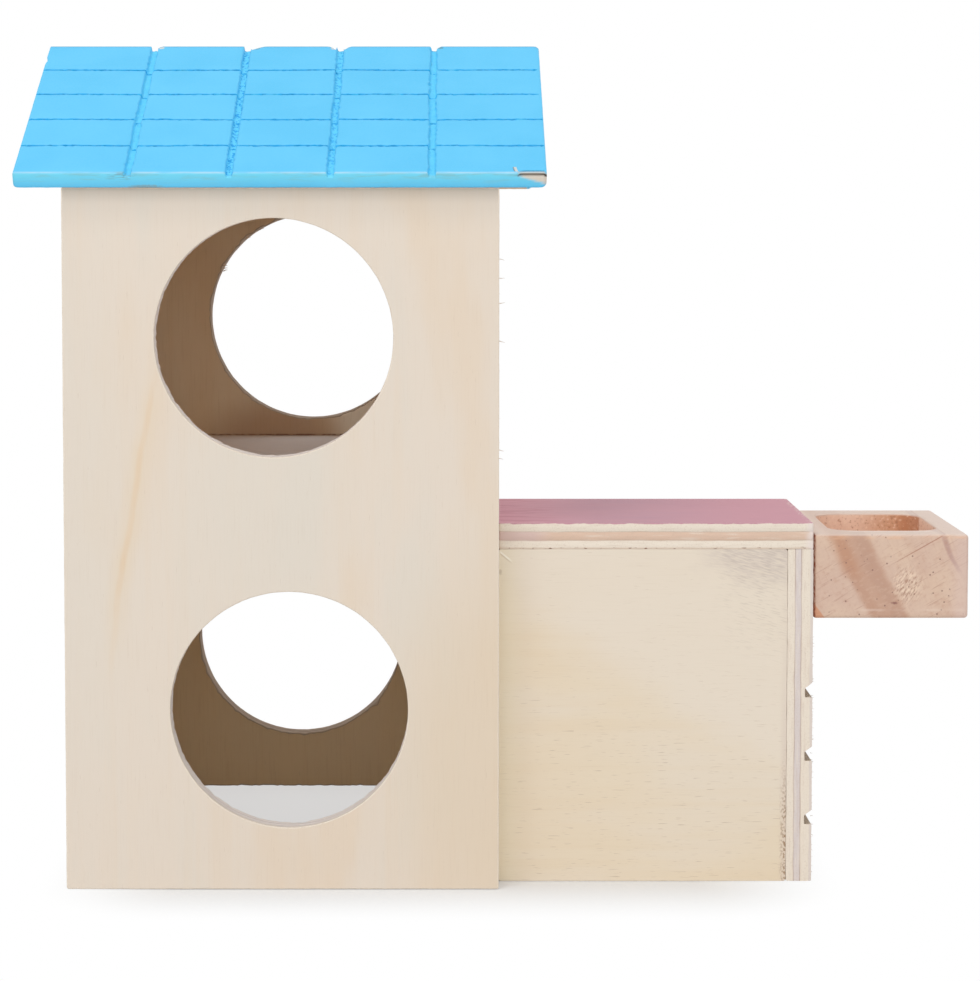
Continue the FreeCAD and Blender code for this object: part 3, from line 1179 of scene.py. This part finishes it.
def pink_stain(name, seed):
    """Dusty pink stain that lets the grain through, redder beside the tower, with painted light there that
    lifts the tower's shadow.
    """
    stain = Finish(name, (197, 148, 164), roughness=0.6)
    stain.tint(stain.noise((24, 10, 10), seed).ramp(0.3, 0.7), (202, 150, 164))
    # Painted light: paler pink beside the tower, lifting the shadow that the tower casts on the terrace.
    stain.tint(stain.x.ramp(26, 4, 0, 0.9), (224, 164, 180))
    stain.tint(stain.x.ramp(30, 60, 0, 0.7), (210, 148, 160))
    grain = stain.noise((7, 0.4, 0.4), seed + 1, detail=3)
    stain.tint(grain.ramp(0.5, 0.8, 0, 0.35), (178, 126, 140))
    wiped = stain.noise((9, 2.4, 2), seed + 3, detail=3).ramp(0.5, 0.64) * stain.x.ramp(22, 3, 0, 0.5)
    stain.tint(wiped, (196, 122, 140))
    low, high = node_box("terrace")
    ends = stain.math("MAXIMUM", stain.x.ramp(high.x - 1.6, high.x - 0.3),
                      stain.y.ramp(low.y + 0.7, low.y + 0.1))
    chips = stain.noise((0.8, 0.8, 0.8), seed + 2, detail=3).ramp(0.55, 0.6)
    stain.tint(ends * chips, (232, 216, 206))
    return stain.close(grain, bump=0.1)


def terrace_lid():
    """The pink board. Its paint laps raggedly over the arris, and glue has oozed out below it, with dark
    specks of painted shade in the seam.
    """
    place, size = stand("terrace", RIGHT, BACK)
    end = node_box("terrace")[1].x

    def lapped(wood, depth):
        ragged = wood.noise((2.2, 2.2, 0.8), 104, detail=3) * 0.7 - 0.3
        wood.tint((depth - ragged).ramp(0.0, 0.12, 1, 0), (200, 150, 160))
        mauve = wood.x.ramp(13, 7) * depth.ramp(1.6, 2.0) * depth.ramp(4.0, 3.4, 0, 0.7)
        wood.tint(mauve, (216, 190, 186))
        ooze = depth.ramp(size.z - 0.5, size.z - 0.15)
        wood.tint(ooze * 0.45, (214, 188, 168))
        # Painted shade: dark specks in the seam's gaps under the board.
        specks = wood.noise((1.6, 1.6, 0.6), 105, detail=2).ramp(0.57, 0.66)
        wood.tint(ooze * specks, (140, 100, 82))
        whitish = wood.noise((1.2, 1.2, 0.7), 106, detail=3).ramp(0.3, 0.55, 0.3, 0.9)
        wood.tint(wood.x.ramp(end - 2.4, end - 0.2) * whitish, (236, 222, 216))

    edge = ply_edge("terrace_edge", place, even_plies(size.z), 103, (223, 193, 172), lapped)
    three_ply("terrace_lid", "terrace", RIGHT, BACK, ALONG_X, 100, slot="pink_paint", edge=edge,
              face=pink_stain("terrace_face", 101), soft=lid_arris, face_tear=0, back_tear=0.1)


# ---------------- the feeding bowl

def quarter_rings(radius):
    """Rings that round off an arris, from the face down to the side."""
    turns = [math.pi / 2 * number / quarter_steps for number in range(quarter_steps + 1)]
    return [(radius * (1 - math.cos(turn)), radius * (1 - math.sin(turn))) for turn in turns]


def wall_rings(depth, edge, foot, side):
    """Rings down a wall with a round top and a round foot, which turns in under the block (1) or
    out into the pocket (-1)."""
    rings = quarter_rings(edge) + [(level, 0) for level in range(2, int(depth) - 1)]
    return rings + [(depth - rise, side * back) for rise, back in reversed(quarter_rings(foot))]


def sanded_side(point, depth):
    """The bowl's sanded sides, only just uneven."""
    return bowl_wave * (1 + noise.noise(Vector((point.x, point.y, depth)) * 0.4))


def is_outside(spot, size):
    """Whether a rim point is on the block's own outline, and not on the pocket's."""
    return min(spot.x, size.x - spot.x, spot.y, size.y - spot.y) < bowl_edge + 0.1


def bowl_block(size):
    """The bowl's block lying as it is used, its rim at z = 0."""
    bm = bmesh.new()
    rectangle(bm, (0, 0), size, bowl_edge)
    pocket_size = (size.x - 2 * pocket_end_wall, size.y - 2 * pocket_side_wall)
    rectangle(bm, (pocket_end_wall, pocket_side_wall), pocket_size, pocket_corner)
    fill(bm, bm.edges[:], 0)
    rim = note_outline(bm)
    base = outline_layers(bm)[0]
    outside = [edge for edge in rim if is_outside(edge.verts[0][base], size)]
    inside = [edge for edge in rim if edge not in outside]
    fill(bm, saw(bm, outside, wall_rings(size.z, bowl_edge, bowl_edge, 1), sanded_side), 0)
    pocket_rings = wall_rings(size.z - pocket_floor, pocket_rim, pocket_foot, -1)
    fill(bm, saw(bm, inside, pocket_rings, sanded_side), 0)
    for face in bm.faces:
        face.material_index = 0
    return bm


grain_slant = math.radians(24)
resin_slant = math.radians(29.6)
stroke_slant = math.radians(-32)
band_lean = 0.514

# Growth bands: X + lean x Z of the middle, half width, softness, share and colour
growth_bands = ((113.3, 3.0, 1.9, 0.72, (194, 152, 129)),
                (110.8, 0.4, 1.4, 0.2, (184, 134, 108)),
                (115.4, 0.6, 1.6, 0.22, (176, 138, 122)),
                (125.7, 0.4, 2.0, 0.15, (202, 164, 140)))

# The same, for bands that fade out below the rim
upper_bands = ((110.4, 0.8, 2.4, 0.42, (194, 138, 104)),
               (133.2, 0.2, 0.7, 0.55, (170, 128, 124)))


def pine(name, seed):
    """Sanded pine: wide soft growth bands that lean one way, fine resin lines that lean the other,
    small dark knots, a torn patch on the front, dark brown along the side that is stuck on, and painted
    highlights and shade."""
    low, high = node_box("feeding_bowl")
    wood = Finish(name, (222, 194, 172), roughness=0.62)
    cloud = wood.noise((9, 9, 9), seed, detail=3)
    wood.tint(cloud.ramp(0.3, 0.7), (214, 184, 166))
    waved = cloud * 3.0 + (wood.along((1, 0, band_lean)) - 1.5)
    upper = (wood.z + cloud * 4.0).ramp(66, 71)
    for bands, where in ((growth_bands, 1.0), (upper_bands, upper)):
        for middle, half, soft, share, colour in bands:
            wood.tint((waved - middle).strip(half, soft) * where * share, colour)
    grain = wood.noise((0.3, 0.3, 4.5), seed + 1, detail=3, slant=grain_slant)
    wood.tint(grain.ramp(0.5, 0.8, 0, 0.3), (198, 158, 136))
    fleck = wood.noise((1.1, 1.1, 0.6), seed + 10, detail=3, slant=grain_slant)
    wood.tint(fleck.ramp(0.52, 0.7, 0, 0.3), (196, 152, 128))
    wood.tint(fleck.ramp(0.48, 0.32, 0, 0.14), (232, 204, 182))
    resin(wood, seed)
    knots(wood, seed)
    tear = torn_patch(wood, low, seed)
    pocket_tone(wood, low, high, seed)
    bowl_edges(wood, low, high, seed)
    return wood.close(grain * 0.3 + tear, bump=0.35, distance=0.0002)


def resin(wood, seed):
    """Thin resin lines, one of them long."""
    streaks = wood.noise((6, 2, 0.25), seed + 3, detail=1, slant=resin_slant)
    wood.tint(streaks.ramp(0.64, 0.74, 0, 0.5), (182, 138, 120))
    line = wood.along((-math.sin(resin_slant), 0, math.cos(resin_slant))) - 17.53
    wood.tint(line.strip(0.05, 0.12) * wood.x.ramp(82, 90) * 0.75, (176, 124, 106))


def knots(wood, seed):
    """Small dark dots, and one short dash."""
    inputs = {"Vector": wood.point, "Scale": 0.68}
    distance = wood.add("ShaderNodeTexVoronoi", inputs, "Distance")
    kept = wood.add("ShaderNodeSeparateColor", {0: distance.other("Color")})
    wood.tint(distance.ramp(0.08, 0.17, 1, 0) * kept.ramp(0.05, 0.4, 0, 0.8), (136, 100, 92))
    dash = wood.spot((85.0, -48, 59.8), (1.0, 2, 0.4), ragged=0.95, seed=seed, grain=0.35)
    wood.tint(dash * 0.8, (136, 92, 84))


def torn_patch(wood, low, seed):
    """A brown wedge in the lower left corner, and grain torn up by a blunt cutter, drawn on the front as
    short slanting strokes of painted highlight and painted shadow. Returns how high the torn grain stands."""
    wedge = (wood.x - low.x) * (1 / 2.9) + (wood.z - low.z) * (1 / 3.9)
    wood.tint(wedge.ramp(0.85, 1.0, 0.85, 0), (208, 146, 112))
    patch = wood.spot((87.7, -48, 63.6), (4.0, 3, 5.2), ragged=0.7, seed=seed, grain=1.2)
    strokes = wood.noise((0.3, 0.5, 1.0), seed + 5, detail=1, slant=stroke_slant)
    # Painted highlight and painted shadow: pale and dark strokes of the torn grain.
    wood.tint(patch * strokes.ramp(0.52, 0.62, 0, 0.7), (244, 218, 194))
    wood.tint(patch * strokes.ramp(0.43, 0.34, 0, 0.65), (164, 120, 100))
    return patch * strokes.ramp(0.35, 0.65)


def pocket_tone(wood, low, high, seed):
    """The pocket's rough walls, more orange, with painted shade at the right of its far wall and painted
    light on its right wall.
    """
    near_wall = low.y + pocket_side_wall
    far_wall = high.y - pocket_side_wall
    right_wall = high.x - pocket_end_wall
    corner = far_wall - pocket_corner
    inside = wood.z.ramp(high.z - 0.1, high.z - 0.5) * wood.y.ramp(near_wall - 0.6, near_wall + 0.2)
    inside *= wood.y.ramp(far_wall + 1.7, far_wall + 0.5)
    inside *= wood.x.ramp(right_wall + 1.3, right_wall + 0.3)
    wood.tint(inside * 0.7, (250, 216, 194))
    far = inside * wood.y.ramp(far_wall - 3.5, far_wall - 0.5)
    wood.tint(far * wood.x.ramp(80, 91, 0.05, 0.75), (206, 150, 110))
    # Painted shade: darker where the far wall curves round into the right wall.
    dark = wood.x.ramp(right_wall - 5.4, right_wall - 2.4) * wood.y.ramp(corner, corner + 1)
    wood.tint(inside * dark * 0.75, (190, 128, 90))
    # Painted light: paler on the right wall, which faces the light.
    lit = wood.x.ramp(right_wall - 1.6, right_wall - 0.8) * wood.y.ramp(corner + 1, corner)
    wood.tint(inside * lit * 0.8, (246, 216, 196))
    lip = (wood.y - (near_wall - 1.0)).strip(0.7, 0.5) * wood.z.ramp(high.z - 0.5, high.z - 0.2)
    lip *= (wood.x - (right_wall - 11)).strip(8, 2)
    wood.tint(lip * 0.6, (250, 234, 222))
    rough = wood.noise((0.7, 0.8, 0.7), seed + 7, detail=3)
    wood.tint(inside * rough.ramp(0.56, 0.7, 0, 0.6), (172, 120, 90))
    wood.tint(inside * rough.ramp(0.44, 0.32, 0, 0.6), (244, 214, 190))


def bowl_edges(wood, low, high, seed):
    """A pale far end, a faint pale line above the lower arris, a warm painted highlight under the rim,
    a pale painted highlight on the rim, and dark brown on the side that is stuck on."""
    wood.tint(wood.x.ramp(high.x - 5, high.x - 1, 0, 0.5), (222, 196, 186))
    patchy = wood.noise((5, 5, 5), seed + 9).ramp(0.35, 0.65, 0.05, 0.25)
    line = (wood.z - (low.z + 1.8)).strip(0.1, 0.3) * wood.x.ramp(low.x + 8, low.x + 12)
    wood.tint(line * patchy, (244, 226, 212))
    # Painted highlight: a warm patchy band just under the front's top arris.
    warm = wood.noise((4, 2, 1.2), seed + 8, detail=3).ramp(0.4, 0.7, 0, 0.5)
    on_front = wood.y.ramp(low.y + 0.9, low.y + 0.4)
    wood.tint(wood.z.ramp(high.z - 1.3, high.z - 0.8) * on_front * warm, (230, 186, 154))
    # Painted highlight: a pale band along the rim.
    wood.tint(wood.z.ramp(high.z - 0.5, high.z - 0.05) * 0.6, (236, 220, 209))
    # Dark brown flecks along the side that is stuck on.
    dark_flecks = wood.noise((0.5, 0.5, 0.9), seed + 2, detail=2).ramp(0.35, 0.65, 0.5, 1)
    wood.tint(wood.x.ramp(low.x + 0.35, low.x + 0.75, 1, 0) * dark_flecks, (132, 62, 40))


def feeding_bowl():
    place, size = stand("feeding_bowl", RIGHT, BACK)
    put("pine_bowl", bowl_block(size), place, [pine("pine_bowl_wood", 121)], "house",
        "feeding_bowl")


# ---------------- studio

camera_place = (-0.00943, -0.65947, 0.14630)
camera_pitch = 3.5
camera_lens = 106.05
camera_shift = (0.03905, -0.11968)
room_light = 0.72
sensor_width = 36
floor_size = 6.0
floor_drop = 0.00005        # keeps the floor clear of the walls' lower edges
white = (1, 1, 1, 1)
paper_grey = (0.8, 0.8, 0.8, 1)

shadow_low = Vector((-66, -52, 0))          # the part of the floor that keeps its shadow in full
shadow_high = Vector((42, 56, 0))
shadow_spread = 32.5
inside_low = Vector((-88, -54, 0))          # the ground inside the tower
inside_high = Vector((-2, 54, 0))

lamp_aim = Vector((0, 0, 0.08))


def camera():
    data = bpy.data.cameras.new("camera")
    data.sensor_fit = "HORIZONTAL"
    data.sensor_width = sensor_width
    data.lens = camera_lens
    data.shift_x, data.shift_y = camera_shift
    eye = new_object("camera", data)
    eye.location = camera_place
    eye.rotation_euler = (math.radians(90 - camera_pitch), 0, 0)
    bpy.context.scene.camera = eye


def world():
    """A white backdrop that gives a plain, even light."""
    room = bpy.data.worlds.new("room")
    room.use_nodes = True
    bpy.context.scene.world = room
    room.node_tree.nodes.clear()
    nodes = Nodes(room.node_tree)
    light, backdrop = (nodes.add("ShaderNodeBackground", {"Color": white, "Strength": strength})
                       for strength in (room_light, 1.0))
    both = nodes.add("ShaderNodeMixShader", {0: nodes.seen_directly(), 1: light, 2: backdrop})
    nodes.feed(room.node_tree.nodes.new("ShaderNodeOutputWorld").inputs["Surface"], both)


def beyond(paper, low, high):
    """How far a point of the floor lies outside a rectangle."""
    away = paper.vector("ABSOLUTE", paper.vector("SUBTRACT", paper.point, (low + high) / 2))
    outside = paper.vector("SUBTRACT", away, (high - low) / 2 + UP)
    return paper.vector("LENGTH", paper.vector("MAXIMUM", outside), output="Value")


def floor():
    """A pale paper floor that fades to white away from the house, and glows for the camera inside the
    tower, as painted light.
    """
    paper = Finish("floor_paper")
    around = beyond(paper, shadow_low, shadow_high).ramp(-9, shadow_spread)
    # Painted light: the ground inside the tower glows for the camera, where shade would fall.
    inside = beyond(paper, inside_low, inside_high).ramp(0, 2, 0.6, 0)
    share = paper.seen_directly() * paper.math("MAXIMUM", around, inside)
    plain = paper.add("ShaderNodeBsdfDiffuse", {"Color": paper_grey})
    glow = paper.add("ShaderNodeEmission", {"Color": white, "Strength": 1.0})
    mixed = paper.add("ShaderNodeMixShader", {0: share, 1: plain, 2: glow})
    paper.feed(paper.tree.nodes["Material Output"].inputs["Surface"], mixed)
    paper.tree.nodes.remove(paper.shader)
    bm = bmesh.new()
    grid(bm, (0, 0, -floor_drop), (floor_size, floor_size))
    new_piece("floor", bm, paper.material)


def softbox(name, place, width, power):
    """A square lamp that looks at the house."""
    data = bpy.data.lights.new(name, "AREA")
    data.shape = "SQUARE"
    data.size = width
    data.energy = power
    lamp = new_object(name, data)
    lamp.location = place
    lamp.rotation_euler = (lamp_aim - Vector(place)).to_track_quat("-Z", "Y").to_euler()


camera()
world()
floor()
softbox("key", (-0.57, -0.757, 1.03), width=0.45, power=2.3)
softbox("overhead", (0, -0.45, 1.30), width=0.6, power=1.6)
softbox("front_fill", (0, -1.2, 0.25), width=1.0, power=3.0)

tower_front()
tower_back()
tower_sides()
tower_floor()
roof()
annex_walls()
annex_end()
terrace_lid()
feeding_bowl()

bpy.context.scene.view_settings.view_transform = "Standard"
